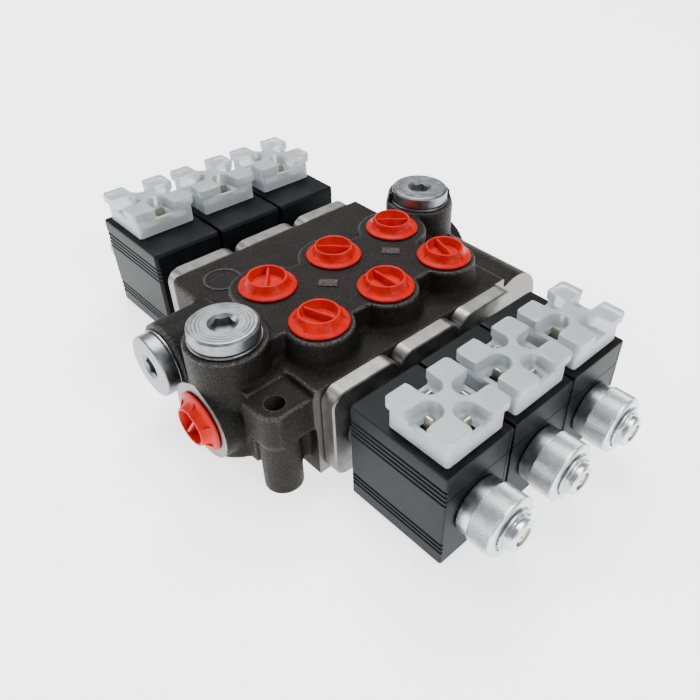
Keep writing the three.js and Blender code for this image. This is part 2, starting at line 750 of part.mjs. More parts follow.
for (const index of sectionIndices) {
  const number = index + 1;
  const spoolMesh = meshOf(`spool_${number}`, spool(), groundSteel);
  spoolMesh.position.set(0, sectionY(index), spoolHeight);
  valve.add(spoolMesh);

  for (const [row, x, barAngles] of capRows) {
    const shape = portCap(capFlangeMargin, barAngles[index % barAngles.length]);
    const cap = meshOf(`port_cap_${number}_${row}`, shape, redPolyethylene);
    cap.position.set(x, sectionY(index), deckHeight + clearance);
    valve.add(cap);
  }

  for (const [side, turn] of [['front', 0], ['rear', Math.PI]]) {
    const solenoid = new THREE.Group();
    const tag = `${number}_${side}`;
    solenoid.add(meshOf(`adapter_plate_${tag}`, adapterPlate(), brushedSteel));
    solenoid.add(meshOf(`armature_tube_${tag}`, armatureTube(), zincPlate));
    solenoid.add(meshOf(`armature_${tag}`, armature(), groundSteel));
    solenoid.add(meshOf(`override_pin_${tag}`, overridePin(), brassRod));
    solenoid.add(meshOf(`coil_${tag}`, coil(), blackNylon));
    solenoid.add(meshOf(`terminal_guard_${tag}`, terminalGuard(), milkyNylon));
    solenoid.add(meshOf(`coil_nut_${tag}`, coilNut(), zincPlate));
    if (side === 'rear') {
      solenoid.add(meshOf(`centring_spring_${number}`, centringSpring(), springSteel));
    }
    solenoid.rotation.z = turn;
    solenoid.position.set(Math.cos(turn) * bodyHalfLength, sectionY(index), spoolHeight);
    valve.add(solenoid);
  }
}

const nearPlug = meshOf('gallery_plug_near', galleryPlug(), zincPlate);
nearPlug.position.set(galleryPlugX, galleryPlugY, galleryBossHeight + clearance);
const farPlug = meshOf('gallery_plug_far', galleryPlug(), zincPlate);
farPlug.position.set(farPlugX, farPlugY, galleryBossHeight + clearance);
const relief = meshOf('relief_cap', reliefCap(), zincPlate);
relief.position.set(reliefX, reliefFaceY - clearance, reliefHeight);
valve.add(nearPlug, farPlug, relief);

// The inlet and outlet caps lie on their sides, crowns outwards.
const inletCap = meshOf('inlet_cap', portCap(inletCapFlangeMargin, inletBarAngle), redPolyethylene);
inletCap.rotation.x = Math.PI / 2;
inletCap.position.set(galleryPlugX, inletFaceY - clearance, inletHeight);
const outletCap = meshOf('outlet_cap', portCap(inletCapFlangeMargin, inletBarAngle), redPolyethylene);
outletCap.rotation.x = -Math.PI / 2;
outletCap.position.set(farPlugX, outletFaceY + clearance, inletHeight);
valve.add(inletCap, outletCap);

export default valve;
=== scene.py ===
"""Three-section hydraulic valve with six solenoids: its looks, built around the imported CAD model."""
import math
import bmesh
import bpy
from mathutils import Matrix, Vector


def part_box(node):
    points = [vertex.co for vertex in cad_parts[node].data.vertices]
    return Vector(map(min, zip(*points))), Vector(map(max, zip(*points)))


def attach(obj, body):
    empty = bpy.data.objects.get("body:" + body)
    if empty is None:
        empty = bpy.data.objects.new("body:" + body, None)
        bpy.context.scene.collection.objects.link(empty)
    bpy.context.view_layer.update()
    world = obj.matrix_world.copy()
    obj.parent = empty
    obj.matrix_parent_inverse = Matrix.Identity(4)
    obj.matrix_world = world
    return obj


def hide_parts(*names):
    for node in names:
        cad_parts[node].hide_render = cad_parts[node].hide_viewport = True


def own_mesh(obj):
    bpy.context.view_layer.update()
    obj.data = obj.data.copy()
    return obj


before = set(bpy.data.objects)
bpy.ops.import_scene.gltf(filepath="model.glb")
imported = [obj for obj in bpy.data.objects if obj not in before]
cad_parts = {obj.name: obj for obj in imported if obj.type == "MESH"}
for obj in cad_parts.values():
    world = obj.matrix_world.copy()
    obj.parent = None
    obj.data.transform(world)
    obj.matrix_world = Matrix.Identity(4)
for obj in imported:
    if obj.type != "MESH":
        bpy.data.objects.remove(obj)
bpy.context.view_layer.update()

# ---- Table and studio ----------------------------------------------------------------------------
# A pale table under the valve, a large softbox over it, a smaller one on each side, and a camera that
# looks down across the inlet end and the front row of solenoids.
MM = 0.001
camera_data = bpy.data.cameras.new("studio_camera")
camera_data.lens = 35.94
camera_data.sensor_width = 36
camera_data.shift_x = -0.0884
camera_data.shift_y = 0.016
camera_data.clip_start = 0.01
camera_data.dof.use_dof = False
camera = bpy.data.objects.new("studio_camera", camera_data)
bpy.context.scene.collection.objects.link(camera)
camera_place = Vector((218.99, -179.30, 236.69)) * MM
camera_target = Vector((52.26, -2.22, 30.0)) * MM
camera_roll = math.radians(2.214)
aim = (camera_target - camera_place).to_track_quat("-Z", "Y")
camera.matrix_world = (Matrix.Translation(camera_place) @ aim.to_matrix().to_4x4()
                       @ Matrix.Rotation(camera_roll, 4, "Z"))
bpy.context.scene.camera = camera


def softbox(name, place, target, width, height, power):
    """A rectangular area light that faces its target."""
    data = bpy.data.lights.new(name, "AREA")
    data.shape = "RECTANGLE"
    data.size = width
    data.size_y = height
    data.energy = power
    lamp = bpy.data.objects.new(name, data)
    bpy.context.scene.collection.objects.link(lamp)
    aimed = (Vector(target) - Vector(place)).to_track_quat("-Z", "Y")
    lamp.matrix_world = Matrix.Translation(place) @ aimed.to_matrix().to_4x4()


softbox("softbox_over", (-0.7, 0.5, 2.0), (0, 0, 0), 1.2, 1.6, 75.0)
softbox("softbox_left", (-1.3, -1.1, 0.9), (0, -0.03, 0.03), 0.6, 0.9, 16.0)
softbox("softbox_right", (1.5, 0.1, 1.0), (0.08, 0, 0.03), 0.7, 1.0, 22.0)
world = bpy.data.worlds.new("studio")
bpy.context.scene.world = world
world.use_nodes = True
world.node_tree.nodes["Background"].inputs["Color"].default_value = (0.97, 0.985, 1.0, 1)
world.node_tree.nodes["Background"].inputs["Strength"].default_value = 0.35


class Value:
    """A number or colour that varies over a surface, so that sums of nodes read as plain sums."""

    def __init__(self, finish, socket):
        self.finish = finish
        self.socket = socket

    def combined(self, operation, first, second):
        return self.finish.node("ShaderNodeMath", {"operation": operation}, {0: first, 1: second})

    def __add__(self, other):
        return self.combined("ADD", self, other)

    def __radd__(self, other):
        return self.combined("ADD", other, self)

    def __sub__(self, other):
        return self.combined("SUBTRACT", self, other)

    def __rsub__(self, other):
        return self.combined("SUBTRACT", other, self)

    def __mul__(self, other):
        return self.combined("MULTIPLY", self, other)

    def __rmul__(self, other):
        return self.combined("MULTIPLY", other, self)


class Finish:
    """A surface finish: a material, its shader, and one way of adding any other node to it."""

    def __init__(self, name, **constants):
        self.material = bpy.data.materials.new(name)
        self.material.use_nodes = True
        self.tree = self.material.node_tree
        self.shader = self.tree.nodes["Principled BSDF"]
        for socket, value in constants.items():
            self.shader.inputs[socket.replace("_", " ")].default_value = value
        self.place = self.node("ShaderNodeTexCoord", {}, {}, "Object")

    def node(self, kind, settings, sockets, output=0):
        """One node of any kind, with its settings and the values or links of its sockets."""
        made = self.tree.nodes.new(kind)
        for setting, value in settings.items():
            setattr(made, setting, value)
        for socket, value in sockets.items():
            if isinstance(value, Value):
                self.tree.links.new(value.socket, made.inputs[socket])
            else:
                made.inputs[socket].default_value = value
        return Value(self, made.outputs[output])

    def feed(self, **varying):
        """Links values to sockets of the shader, with _ for each space in a socket's name."""
        for socket, value in varying.items():
            self.tree.links.new(value.socket, self.shader.inputs[socket.replace("_", " ")])

    def grain(self, size_mm, detail=3.0, stretch=(1, 1, 1)):
        """Even noise from 0 to 1 whose grains are size_mm across, drawn out by stretch."""
        scaled = self.node("ShaderNodeMapping", {}, {"Vector": self.place,
                           "Scale": tuple(1 / (size_mm * MM * s) for s in stretch)})
        return self.node("ShaderNodeTexNoise", {}, {"Vector": scaled, "Scale": 1.0,
                         "Detail": detail, "Roughness": 0.6})

    def between(self, amount, low, high):
        """A number that runs from low to high as amount runs from 0.3 to 0.7."""
        return self.node("ShaderNodeMapRange", {}, {0: amount, 1: 0.3, 2: 0.7, 3: low, 4: high})

    def tint(self, amount, first, second):
        """A colour between two others."""
        return self.node("ShaderNodeMix", {"data_type": "RGBA"},
                         {0: amount, 6: (*first, 1), 7: (*second, 1)}, 2)

    def relief(self, height, depth_mm, strength):
        """Small bumps of the given depth."""
        return self.node("ShaderNodeBump", {}, {"Height": height, "Distance": depth_mm * MM,
                         "Strength": strength})


table_finish = Finish("pale_table", Roughness=0.85, Emission_Color=(1, 1, 1, 1), Emission_Strength=2.1)
table_finish.feed(Base_Color=table_finish.tint(table_finish.grain(40), (0.94, 0.94, 0.94),
                                               (0.96, 0.96, 0.96)))
table_half = 3.0
table_top = -0.3 * MM
table_mesh = bpy.data.meshes.new("table")
table_mesh.from_pydata([(-table_half, -table_half, table_top), (table_half, -table_half, table_top),
                        (table_half, table_half, table_top), (-table_half, table_half, table_top)],
                       [], [(0, 1, 2, 3)])
table_mesh.materials.append(table_finish.material)
table = bpy.data.objects.new("table", table_mesh)
bpy.context.scene.collection.objects.link(table)


# ---- Casting -------------------------------------------------------------------------------------
# One iron casting with rounded cast edges and a sandy, dark phosphated skin. The side faces, the inlet
# and outlet faces, the underside and the blank end of the cross core are milled to lighter iron.
# Shells are drawn in millimetres and only scaled to metres when a piece is fitted.
def turned(profile, steps):
    """A closed shell turned about +Z from pairs of station and radius that end on the axis."""
    shell = bmesh.new()
    rings = []
    for station, radius in profile:
        count = 1 if radius == 0 else steps
        rings.append([shell.verts.new((radius * math.cos(2 * math.pi * i / steps),
                                       radius * math.sin(2 * math.pi * i / steps), station))
                      for i in range(count)])
    for low, high in zip(rings, rings[1:]):
        for i in range(steps):
            j = (i + 1) % steps
            corners = [low[i % len(low)], low[j % len(low)], high[j % len(high)], high[i % len(high)]]
            corners = list(dict.fromkeys(corners))
            if len(corners) > 2:
                shell.faces.new(corners)
    bmesh.ops.recalc_face_normals(shell, faces=shell.faces)
    return shell


def lofted(sections):
    """A closed shell through outlines with equal numbers of points, capped at both ends."""
    shell = bmesh.new()
    rings = [[shell.verts.new(point) for point in section] for section in sections]
    for low, high in zip(rings, rings[1:]):
        for i in range(len(low)):
            j = (i + 1) % len(low)
            shell.faces.new((low[i], low[j], high[j], high[i]))
    shell.faces.new(rings[0])
    shell.faces.new(rings[-1])
    bmesh.ops.recalc_face_normals(shell, faces=shell.faces)
    return shell


def block(low, high):
    """A box between two corners."""
    (x0, y0, z0), (x1, y1, z1) = low, high
    outline = [(x0, y0), (x1, y0), (x1, y1), (x0, y1)]
    return lofted([[(x, y, z0) for x, y in outline], [(x, y, z1) for x, y in outline]])


def rod(axis, start, end, radius, at=(0, 0, 0), end_radius=None, steps=64):
    """A plain or tapered rod along an axis through the point at."""
    shell = turned([(start, 0), (start, radius),
                    (end, radius if end_radius is None else end_radius), (end, 0)], steps)
    turns = {"x": Matrix.Rotation(math.pi / 2, 4, "Y"), "y": Matrix.Rotation(-math.pi / 2, 4, "X"),
             "z": Matrix.Identity(4)}
    shell.transform(Matrix.Translation(at) @ turns[axis])
    return shell


def workpiece(*shells):
    """One object in millimetres that holds the given shells."""
    mesh = bpy.data.meshes.new("workpiece")
    whole = bmesh.new()
    for shell in shells:
        part = bpy.data.meshes.new("shell")
        shell.to_mesh(part)
        shell.free()
        whole.from_mesh(part)
        bpy.data.meshes.remove(part)
    whole.to_mesh(mesh)
    whole.free()
    made = bpy.data.objects.new("workpiece", mesh)
    bpy.context.scene.collection.objects.link(made)
    return made


def settled(piece):
    """Works the modifiers of a piece into its mesh."""
    seen = piece.evaluated_get(bpy.context.evaluated_depsgraph_get())
    mesh = bpy.data.meshes.new_from_object(seen)
    piece.modifiers.clear()
    old = piece.data
    piece.data = mesh
    bpy.data.meshes.remove(old)
    return piece


def carved(piece, operation, *shells):
    """Cuts shells out of a piece, or joins them to it, all at once: they don't cross each other."""
    tool = workpiece(*shells)
    modifier = piece.modifiers.new("carve", "BOOLEAN")
    modifier.operation = operation
    modifier.solver = "MANIFOLD"
    modifier.object = tool
    settled(piece)
    bpy.data.objects.remove(tool)
    return piece


def softened(piece, voxel, rounds):
    """Melts shells that cross into one skin with rounded edges and fillets."""
    remesh = piece.modifiers.new("skin", "REMESH")
    remesh.mode = "VOXEL"
    remesh.voxel_size = voxel
    smooth = piece.modifiers.new("round", "SMOOTH")
    smooth.factor = 0.5
    smooth.iterations = rounds
    return settled(piece)


def fitted(piece, name, finishes, body, nodes, place=Matrix.Scale(MM, 4), crease=32):
    """Puts a copy of a workpiece in place, in metres, with its finishes, on its body."""
    mesh = piece.data.copy()
    mesh.transform(place)
    if finishes:
        mesh.materials.clear()
        for finish in finishes:
            mesh.materials.append(finish.material)
    mesh.shade_smooth()
    mesh.set_sharp_from_angle(angle=math.radians(crease))
    mesh.name = name
    made = bpy.data.objects.new(name, mesh)
    bpy.context.scene.collection.objects.link(made)
    flat_faces = made.modifiers.new("flat_faces", "WEIGHTED_NORMAL")
    flat_faces.keep_sharp = True
    settled(made)
    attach(made, body)
    if nodes:
        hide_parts(*nodes)
    return made


def spot(name):
    """Middle of a CAD node, in millimetres."""
    low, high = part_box(name)
    return (low + high) / 2 / MM


cast_low, cast_high = (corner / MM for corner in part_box("valve_body"))
section_y = [spot(f"spool_{number}").y for number in (1, 2, 3)]
spool_z = spot("spool_1").z
front_port_x = spot("port_cap_1_front").x
rear_port_x = spot("port_cap_1_rear").x
inlet_x, inlet_z = spot("inlet_cap").x, spot("inlet_cap").z
outlet_x = spot("outlet_cap").x
near_plug, far_plug, relief_spot = (spot(name) for name in ("gallery_plug_near", "gallery_plug_far",
                                                             "relief_cap"))
side = 54.0
block_end = section_y[2] + 21.5
shoulder, deck, seat = 48.0, 60.0, 61.2
boss_foot, boss, boss_top, rear_boss = 40, 17.5, 14.9, 17.3
head_foot, near_head, far_head, far_head_top = 8, 17.3, 17.8, 16.4
inlet_boss, relief_boss, outlet_boss, core_boss = 18, 17.2, 17, 17
port_bore, plug_bore, relief_bore, tube_bore, gallery_bore, ear_bore = 10.2, 10.3, 8.5, 8.3, 6, 4.3
core_y, core_z = block_end + 10.6, 28.0
spare = 1.4
ear_x, ear_y, ear_radius, ear_inner = 45.3, 72.4, 9.3, 36
ear_top, rear_ear_top = 45, 20

ear_outline = [(min(ear_x + ear_radius * math.cos(a), side - 0.4), -ear_y - ear_radius * math.sin(a))
               for a in [math.pi / 2 * i / 10 for i in range(10, -1, -1)]]
ear_outline = ([(ear_inner, -block_end + 2), (ear_inner, -ear_y - ear_radius)] + ear_outline
               + [(side - 0.4, -block_end + 2)])
end_edge = 3.5
plan = [(-side - spare, -block_end + end_edge), (-side + end_edge, -block_end), (side + spare, -block_end),
        (side + spare, block_end), (-side - spare, block_end)]
casting = workpiece(
    lofted([[(x, y, -spare) for x, y in plan], [(x, y, shoulder) for x, y in plan]]),
    *[rod("z", boss_foot, deck, boss, (front_port_x, y, 0), boss_top) for y in section_y],
    *[rod("z", boss_foot, deck, rear_boss, (rear_port_x, y, 0)) for y in section_y],
    block((rear_port_x - 6, section_y[0], boss_foot), (front_port_x + 4.5, section_y[2], deck)),
    block((rear_port_x + 4.5, near_plug.y, boss_foot), (front_port_x - 4.5, section_y[0], deck)),
    block((relief_spot.x - 11, -block_end - 19.5, head_foot), (36.3, -block_end + 2, shoulder - 1)),
    rod("z", head_foot, seat, near_head, (near_plug.x, near_plug.y, 0)),
    rod("y", cast_low.y - spare, -block_end + 4, inlet_boss, (inlet_x, 0, inlet_z)),
    rod("y", -block_end - 25, -block_end + 4, relief_boss, (relief_spot.x, 0, relief_spot.z)),
    lofted([[(x, y, 28) for x, y in ear_outline], [(x, y, ear_top) for x, y in ear_outline]]),
    lofted([[(-x, -y, head_foot) for x, y in ear_outline], [(-x, -y, rear_ear_top) for x, y in ear_outline]]),
    rod("z", -spare, 30, 8.5, (ear_x, -ear_y, 0)),
    rod("z", -spare, 12, 8.7, (-ear_x, ear_y, 0)),
    block((ear_inner, -ear_y, head_foot), (48.3, -block_end + 2, 29)),
    rod("x", far_plug.x, side + spare, core_boss, (0, core_y, core_z)),
    block((far_plug.x - far_head, block_end - 2, head_foot), (side - 1.5, core_y, core_z + 8.5)),
    rod("y", block_end - 4, cast_high.y + spare, outlet_boss, (outlet_x, 0, inlet_z)),
    rod("z", head_foot, deck, far_head, (far_plug.x, far_plug.y, 0)),
    rod("z", deck - 1, 66, far_head, (far_plug.x, far_plug.y, 0), far_head_top),
)
softened(casting, 0.95, 3)

# A collar stands round the far plug and is open on one side. The faces that are milled are cut flat.
collar_opening = block((0, -40, seat), (40, 40, 80))
collar_opening.transform(Matrix.Translation((far_plug.x, far_plug.y, 0))
                         @ Matrix.Rotation(-math.radians(31.5), 4, "Z"))
carved(casting, "DIFFERENCE", block((side, -120, -20), (side + 20, 120, 90)),
       block((-side - 20, -120, -20), (-side, 120, 90)))
carved(casting, "DIFFERENCE", block((-70, -120, -20), (70, 120, 0)),
       block((-60, -120, 0.5), (60, cast_low.y, 80)), block((-60, cast_high.y, 0.5), (60, 120, 80)),
       collar_opening)
carved(casting, "DIFFERENCE",
       rod("z", seat, 80, 15, (far_plug.x, far_plug.y, 0)),
       *[rod("z", deck - 14, deck + 5, port_bore, (x, y, 0)) for x in (front_port_x, rear_port_x)
         for y in section_y],
       rod("y", cast_low.y - 5, cast_low.y + 14, port_bore, (inlet_x, 0, inlet_z)),
       rod("y", cast_high.y - 14, cast_high.y + 5, port_bore, (outlet_x, 0, inlet_z)),
       rod("z", seat - 18, seat + 5, plug_bore, (near_plug.x, near_plug.y, 0)),
       rod("y", -block_end - 32, -block_end + 3, relief_bore, (relief_spot.x, 0, relief_spot.z)),
       rod("z", -5, 50, ear_bore, (ear_x, -ear_y, 0)), rod("z", -5, 30, ear_bore, (-ear_x, ear_y, 0)))
carved(casting, "DIFFERENCE",
       *[rod("x", -side - 5, side + 5, tube_bore, (0, y, spool_z)) for y in section_y],
       rod("z", seat - 18, seat + 5, plug_bore, (far_plug.x, far_plug.y, 0)))
carved(casting, "DIFFERENCE",
       *[rod("z", spool_z, deck - 13, gallery_bore, (x, y, 0), steps=32) for x in (front_port_x, rear_port_x)
         for y in section_y])

# Blank lettering pads stand on the deck, and a plain ring on the rear shoulder.
pads = []
for pad_x, pad_y in ((13.0, -17.0), (12.4, 22.4)):
    pad = block((-4.2, -2.6, -1), (4.2, 2.6, 0.5))
    pad.transform(Matrix.Translation((pad_x, pad_y, deck)) @ Matrix.Rotation(math.radians(45), 4, "Z"))
    pads.append(pad)
ring = turned([(-1, 0), (-1, 9.4), (0.35, 9.2), (0.5, 8.9), (0.5, 8.3), (0.35, 8.0), (-0.5, 7.8),
               (-0.5, 0)], 64)
ring.transform(Matrix.Translation((-37.4, -40.6, shoulder)))
carved(casting, "UNION", *pads, ring)

cast_skin = Finish("cast_iron_skin", Specular_IOR_Level=0.14)
sand = cast_skin.grain(0.9, 3)
patches = cast_skin.grain(9, 3)
glints = cast_skin.node("ShaderNodeMapRange", {}, {0: cast_skin.grain(0.7, 1), 1: 0.60, 2: 0.72,
                                                  3: 0.0, 4: 1.0})
skin_colour = cast_skin.tint(cast_skin.between(patches, 0, 1), (0.0042, 0.0038, 0.0032),
                             (0.0085, 0.0078, 0.0066))
# Convex edges are painted toward light bare iron, partly scuffed bare and partly a painted edge highlight.
edges = cast_skin.node("ShaderNodeAttribute", {"attribute_name": "wear_and_highlight"}, {}, "Fac")
rubbed_and_highlit = edges * edges * cast_skin.between(cast_skin.grain(0.7, 2), 0.0, 1.6)
# Light bare iron, used for the painted glints on the sand and for the edges, which are partly scuffed bare
# and partly a painted highlight.
bare_iron_and_highlight = (0.16, 0.155, 0.145, 1)
skin_colour = cast_skin.node("ShaderNodeMix", {"data_type": "RGBA"},
                             {0: glints * 0.15 + rubbed_and_highlit * 0.35, 6: skin_colour, 7: bare_iron_and_highlight}, 2)
cast_skin.feed(Base_Color=skin_colour,
               Roughness=cast_skin.between(sand, 0.62, 0.42),
               Metallic=0.1 + glints * 0.3 + rubbed_and_highlit * 0.5,
               Normal=cast_skin.relief(sand + patches * 0.4, 0.5, 1.0))

milled_iron = Finish("milled_iron", Metallic=1.0)
milling = milled_iron.grain(0.5, 4)
milled_iron.feed(Base_Color=milled_iron.tint(milling, (0.13, 0.128, 0.12), (0.22, 0.215, 0.20)),
                 Roughness=milled_iron.between(milling, 0.5, 0.36),
                 Normal=milled_iron.relief(milling, 0.03, 0.5))

casting.data.materials.clear()
casting.data.materials.append(cast_skin.material)
casting.data.materials.append(milled_iron.material)

# Edges that stand out are scuffed to bare iron and carry a painted highlight: the mark is how far the skin
# bends outwards at each point.
curvature_mesh = bmesh.new()
curvature_mesh.from_mesh(casting.data)
curvature_mesh.normal_update()
bends = [sum(min(1.2, edge.calc_face_angle_signed(0)) for edge in vertex.link_edges) for vertex in curvature_mesh.verts]
wear_and_highlight = [(bends[vertex.index] + sum(bends[edge.other_vert(vertex).index] for edge in vertex.link_edges)
         / len(vertex.link_edges)) / 2 for vertex in curvature_mesh.verts]
curvature_mesh.free()
casting.data.attributes.new("wear_and_highlight", "FLOAT", "POINT").data.foreach_set(
    "value", [max(0.0, min(1.0, amount * 1.5 - 0.2)) for amount in wear_and_highlight])
for face in casting.data.polygons:
    middle, normal = face.center, face.normal
    end_face = abs(normal.y) > 0.98 and (middle.y < cast_low.y + 0.1 or middle.y > cast_high.y - 0.1)
    side_face = (abs(normal.x) > 0.98 and abs(middle.x) > side - 0.1 and abs(middle.y) < block_end - 2
                 and middle.z < shoulder - 1)
    underside = normal.z < -0.98 and middle.z < 0.1
    face.material_index = 1 if end_face or side_face or underside else 0
fitted(casting, "cast_block", [], "valve", ["valve_body"], crease=40)

# ---- Red port caps -------------------------------------------------------------------------------
# Soft polyethylene caps that close the ports until the hoses go on. Each is one moulding with a
# flange, a fluted crown with a pocket and a bar to pull on, and a hollow stem pushed into the port.
red_moulding = Finish("red_polyethylene", Subsurface_Weight=0.1, Subsurface_Scale=1.5 * MM,
                      Specular_IOR_Level=0.12)
red_moulding.shader.inputs["Subsurface Radius"].default_value = (1.0, 0.25, 0.1)
flow = red_moulding.grain(4, 2)
orange_peel = red_moulding.grain(0.5, 2)
red_moulding.feed(Base_Color=red_moulding.tint(red_moulding.between(flow, 0, 1), (0.42, 0.001, 0.0),
                                               (0.56, 0.006, 0.0)),
                  Roughness=red_moulding.between(orange_peel, 0.34, 0.46),
                  Normal=red_moulding.relief(orange_peel, 0.05, 0.3))


def cap_moulding(flange):
    """A cap on the plane z = 0, with a flange of the given radius and its bar along X."""
    height = 5.5
    shell = turned([(0.9, 0), (0.9, 8.7), (-7.6, 8.7), (-8, 9.0), (-8, 9.5), (-7.6, 9.9), (0, 9.9),
                    (0, flange - 0.5), (0.25, flange - 0.1), (0.6, flange), (0.95, flange - 0.15),
                    (1.25, flange - 0.6), (1.6, flange - 1.5), (2.0, 10.7), (2.5, 10.15), (3.2, 9.75),
                    (4.2, 9.35), (height - 0.3, 9.0), (height - 0.05, 8.75), (height, 8.5), (height, 8.2),
                    (height - 0.15, 7.95), (height - 0.5, 7.8), (2.2, 7.1), (1.7, 6.8), (1.5, 6.3),
                    (1.5, 0)], 144)
    cap = workpiece(shell)
    bar = block((-7.6, -0.6, 1.2), (7.6, 0.6, height - 0.5))
    bmesh.ops.bevel(bar, geom=list(bar.edges), offset=0.25, segments=2, affect="EDGES")
    carved(cap, "UNION", bar)
    ribs = []
    for i in range(6):
        outline = [(9.0, 1.0), (flange - 1.9, 1.0), (flange - 1.9, 1.75), (9.2, height - 1.0),
                   (9.0, height - 1.0)]
        rib = lofted([[(x, y, z) for x, z in outline] for y in (-0.35, 0.35)])
        rib.transform(Matrix.Rotation(math.pi * (i + 0.5) / 3, 4, "Z"))
        ribs.append(rib)
    return carved(cap, "UNION", *ribs)


work_cap, line_cap = cap_moulding(12.9), cap_moulding(14.0)
stem_length = 8
bar_turns = {"1_front": 0.3, "2_front": 0.0, "3_front": -0.32,
             "1_rear": -0.71, "2_rear": 0.77, "3_rear": 0.88}
line_bar_turn = 0.95
for tag, turn in bar_turns.items():
    low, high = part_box(f"port_cap_{tag}")
    middle = (low + high) / 2
    fitted(work_cap, f"red_port_cap_{tag}", [red_moulding], "valve", [f"port_cap_{tag}"],
           Matrix.Translation((middle.x, middle.y, low.z + stem_length * MM)) @ Matrix.Rotation(turn, 4, "Z")
           @ Matrix.Scale(MM, 4))
for name, way in (("inlet", 1), ("outlet", -1)):
    middle = spot(f"{name}_cap") * MM
    face_y = (cast_low.y - 0.3) * MM if way > 0 else (cast_high.y + 0.3) * MM
    fitted(line_cap, f"red_{name}_cap", [red_moulding], "valve", [f"{name}_cap"],
           Matrix.Translation((middle.x, face_y, middle.z)) @ Matrix.Rotation(way * math.pi / 2, 4, "X")
           @ Matrix.Rotation(line_bar_turn, 4, "Z") @ Matrix.Scale(MM, 4))
bpy.data.objects.remove(work_cap)
bpy.data.objects.remove(line_cap)

# ---- Gallery plugs and relief cap ----------------------------------------------------------------
# Turned steel plugs with a hexagon socket, zinc plated. They are screwed down on a thin washer, and
# the relief cap closes the relief cartridge in the same way, head outwards.
def turned_face(finish, centre, axis, pitch_mm):
    """Rings of tool marks round an axis, as a height from 0 to 1."""
    from_centre = finish.node("ShaderNodeVectorMath", {"operation": "SUBTRACT"},
                              {0: finish.place, 1: tuple(centre * MM)})
    across = finish.node("ShaderNodeVectorMath", {"operation": "MULTIPLY"},
                         {0: from_centre, 1: tuple(0.0 if i == axis else 1.0 for i in range(3))})
    radius = finish.node("ShaderNodeVectorMath", {"operation": "LENGTH"}, {0: across}, "Value")
    rings = finish.node("ShaderNodeMath", {"operation": "SINE"},
                        {0: radius * (2 * math.pi / (pitch_mm * MM))})
    return rings * 0.5 + 0.5


def plug_finish(name, centre, axis):
    """Turned and zinc-plated steel, with tool marks round an axis (0, 1 or 2) through the centre."""
    finish = Finish(name, Metallic=1.0)
    cloud = finish.grain(4, 3)
    rings = turned_face(finish, centre, axis, 1.6)
    finish.feed(Base_Color=finish.tint(finish.between(cloud, 0, 1), (0.17, 0.185, 0.195),
                                       (0.27, 0.285, 0.295)),
                Roughness=finish.between(cloud, 0.33, 0.44),
                Normal=finish.relief(rings, 0.012, 0.5))
    return finish


def socket_shells(top):
    """A hexagon and the countersink round its mouth, to be cut from the plane z = top down."""
    hexagon = turned([(top - 5, 0), (top - 4.4, 5.2), (top + 1, 5.2), (top + 1, 0)], 6)
    countersink = turned([(top - 1.3, 0), (top - 1.3, 4.6), (top + 0.3, 6.6), (top + 1, 6.6),
                          (top + 1, 0)], 64)
    return hexagon, countersink


head, head_top = 14.6, 7.0
plug_profile = [(-15, 0), (-15, 9.0), (-14, 10), (0, 10), (0, 15.1), (0.7, 15.1), (0.9, 14.9), (0.9, 13.6),
                (1.3, 13.6), (1.3, head - 0.3), (1.6, head), (5.7, head), (6.2, head - 0.12),
                (6.9, head - 0.95), (head_top, head - 1.3)]
for groove, half, depth in ((12.2, 0.2, 0.15), (10.7, 0.2, 0.15), (9.25, 0.15, 0.1)):
    plug_profile += [(head_top, groove + half), (head_top - depth, groove), (head_top, groove - half)]
plug = workpiece(turned(plug_profile + [(head_top, 0)], 128))
for cutter in socket_shells(head_top):
    carved(plug, "DIFFERENCE", cutter)
for name in ("near", "far"):
    low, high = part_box(f"gallery_plug_{name}")
    middle = (low + high) / 2
    fitted(plug, f"turned_plug_{name}", [plug_finish(f"plug_steel_{name}", middle / MM, 2)], "valve",
           [f"gallery_plug_{name}"],
           Matrix.Translation((middle.x, middle.y, high.z - head_top * MM)) @ Matrix.Scale(MM, 4), 28)
cap = workpiece(turned([(-17, 0), (-17, 7.6), (-16.4, 8.2), (0, 8.2), (0, 14.9), (0.7, 14.9), (0.8, 14.8),
                        (0.8, 13.6), (1.2, 13.6), (1.2, 14.2), (1.5, 14.5), (6.2, 14.5), (6.6, 14.3),
                        (head_top, 13.7), (head_top, 0)], 128))
for cutter in socket_shells(head_top):
    carved(cap, "DIFFERENCE", cutter)
low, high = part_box("relief_cap")
middle = (low + high) / 2
fitted(cap, "turned_relief_cap", [plug_finish("relief_steel", middle / MM, 1)], "valve", ["relief_cap"],
       Matrix.Translation((middle.x, low.y + head_top * MM, middle.z)) @ Matrix.Rotation(math.pi / 2, 4, "X")
       @ Matrix.Scale(MM, 4), 28)
bpy.data.objects.remove(plug)
bpy.data.objects.remove(cap)

# ---- Adapter plates ------------------------------------------------------------------------------
# Milled steel plates with round corners and broken edges, screwed to the side faces of the block.
# Each holds the flange of an armature tube in a recess. Stations run outwards from the side face.
gap = 0.3
solenoids = {}
for number in (1, 2, 3):
    for row, turn in (("front", 0.0), ("rear", math.pi)):
        low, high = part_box(f"armature_tube_{number}_{row}")
        middle = (low + high) / 2
        face_x = low.x - gap * MM if row == "front" else high.x + gap * MM
        solenoids[f"{number}_{row}"] = (Matrix.Translation((face_x, middle.y, middle.z))
                                        @ Matrix.Rotation(turn, 4, "Z") @ Matrix.Scale(MM, 4))

milled_steel = Finish("milled_steel", Metallic=1.0)
streaks = milled_steel.grain(0.35, 4, (1, 9, 9))
stains = milled_steel.grain(6, 3)
milled_steel.feed(Base_Color=milled_steel.tint(milled_steel.between(stains, 0, 1), (0.15, 0.15, 0.142),
                                               (0.25, 0.25, 0.24)),
                  Roughness=milled_steel.between(streaks, 0.34, 0.5),
                  Normal=milled_steel.relief(streaks * 0.8 + stains * 0.4, 0.035, 0.6))


